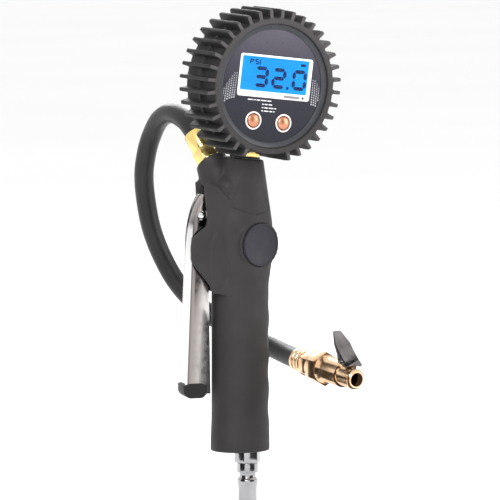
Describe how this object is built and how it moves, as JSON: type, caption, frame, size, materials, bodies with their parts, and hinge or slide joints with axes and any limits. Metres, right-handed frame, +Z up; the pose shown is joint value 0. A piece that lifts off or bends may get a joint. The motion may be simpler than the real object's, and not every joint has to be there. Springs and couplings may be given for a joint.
{
  "type": "tyre inflator with gauge",
  "caption": "Hand-held trigger tyre inflator: round digital gauge in a finned rubber boot, rubber grip, chrome lever, whip hose and clip-on brass chuck.",
  "frame": {"origin": "centre of the free end face of the air inlet plug, on the plug's axis", "axes": "+Z up along the grip, away from the air inlet; -X towards the trigger lever; -Y towards the gauge's face and the side cap"},
  "size_m": [0.1045, 0.1492, 0.2955],
  "materials": {
    "rubber_grip": "soft matte black rubber, fine moulded texture",
    "rubber_boot": "soft matte black rubber, edges rubbed lighter",
    "hose_rubber": "smooth black hose rubber",
    "seal_rubber": "black nitrile",
    "chrome_steel": "bright chrome plate",
    "black_vinyl": "dipped black vinyl",
    "cast_alloy": "as-cast light alloy",
    "brass": "bright turned brass",
    "pale_brass": "pale yellow turned brass",
    "spring_steel": "blued grey spring steel",
    "plain_steel": "plain steel",
    "case_plastic": "dark blue-grey moulded plastic",
    "dial_print": "printed purple-grey film over dark blue-grey",
    "lit_white": "white light guide, lit from behind",
    "lcd_glass": "clear cover film",
    "lcd_blue": "lit cyan-blue display with dark digits",
    "board": "green solder mask",
    "copper_button": "copper-coloured bright plating",
    "button_trim": "white-pink glossy ring",
    "switch_black": "black moulded plastic",
    "battery_wrap": "printed foil sleeve"
  },
  "bodies": {
    "handle": {"inlet_plug": "chrome_steel", "inlet_strainer": "plain_steel", "valve_body": "cast_alloy", "grip_sleeve": "rubber_grip", "side_cap": "rubber_grip", "lever_pin": "chrome_steel", "plunger_gland": "brass", "gland_seal": "seal_rubber", "valve_seat": "brass", "valve_spring": "spring_steel", "valve_end_plug": "brass", "hose_fitting": "pale_brass", "hose_ferrule": "pale_brass", "hose": "hose_rubber", "chuck_ferrule": "brass", "hose_nut": "brass", "chuck_body": "brass", "chuck_seal": "seal_rubber", "chuck_pin": "brass", "clip_pin": "chrome_steel", "clip_spring": "spring_steel", "gauge_stem": "pale_brass", "stem_seal": "seal_rubber", "gauge_case": "case_plastic", "gauge_boot": "rubber_boot", "bezel_ring": "case_plastic", "dial_plate": "dial_print", "lcd_frame": "lit_white", "lcd_window": "lcd_glass", "lcd_panel": "lcd_blue", "backlight_panel": "lit_white", "lcd_carrier": "lit_white", "circuit_board": "board", "button_rims": "button_trim", "tact_switches": "switch_black", "pressure_sensor": "plain_steel", "batteries": "battery_wrap", "battery_contacts": "plain_steel", "battery_cover": "case_plastic", "cover_screws": "plain_steel", "case_screws": "plain_steel"},
    "trigger": {"trigger_lever": "chrome_steel", "lever_tip": "black_vinyl"},
    "plunger": {"valve_plunger": "brass", "valve_poppet": "brass", "poppet_seal": "seal_rubber"},
    "power_key": {"power_button": "copper_button"},
    "light_key": {"light_button": "copper_button"},
    "clip": {"chuck_clip": "spring_steel"}
  },
  "joints": [
    {"name": "trigger_pull", "type": "hinge", "parent": "handle", "child": "trigger", "pos_m": [-0.0304, 0, 0.1725], "axis": [0, -1, 0], "range_deg": [0, 2.2], "stiffness_Nm_per_rad": 1.2, "springref_deg": -5.73},
    {"name": "plunger_slide", "type": "slide", "parent": "handle", "child": "plunger", "axis": [1, 0, 0], "range_m": [0, 0.0008], "deforming": ["valve_spring"]},
    {"name": "power_press", "type": "slide", "parent": "handle", "child": "power_key", "axis": [-0.2403, 0.9703, 0.0278], "range_m": [0, 0.0008], "stiffness_N_per_m": 400},
    {"name": "light_press", "type": "slide", "parent": "handle", "child": "light_key", "axis": [-0.2403, 0.9703, 0.0278], "range_m": [0, 0.0008], "stiffness_N_per_m": 400},
    {"name": "clip_squeeze", "type": "hinge", "parent": "handle", "child": "clip", "pos_m": [0.04913, -0.04392, 0.08705], "axis": [-0.9608, -0.2773, 0], "range_deg": [0, 15], "stiffness_Nm_per_rad": 0.5}
  ],
  "couplings": [
    {"joint": "plunger_slide", "follows": "trigger_pull", "m_per_rad": 0.0205}
  ]
}
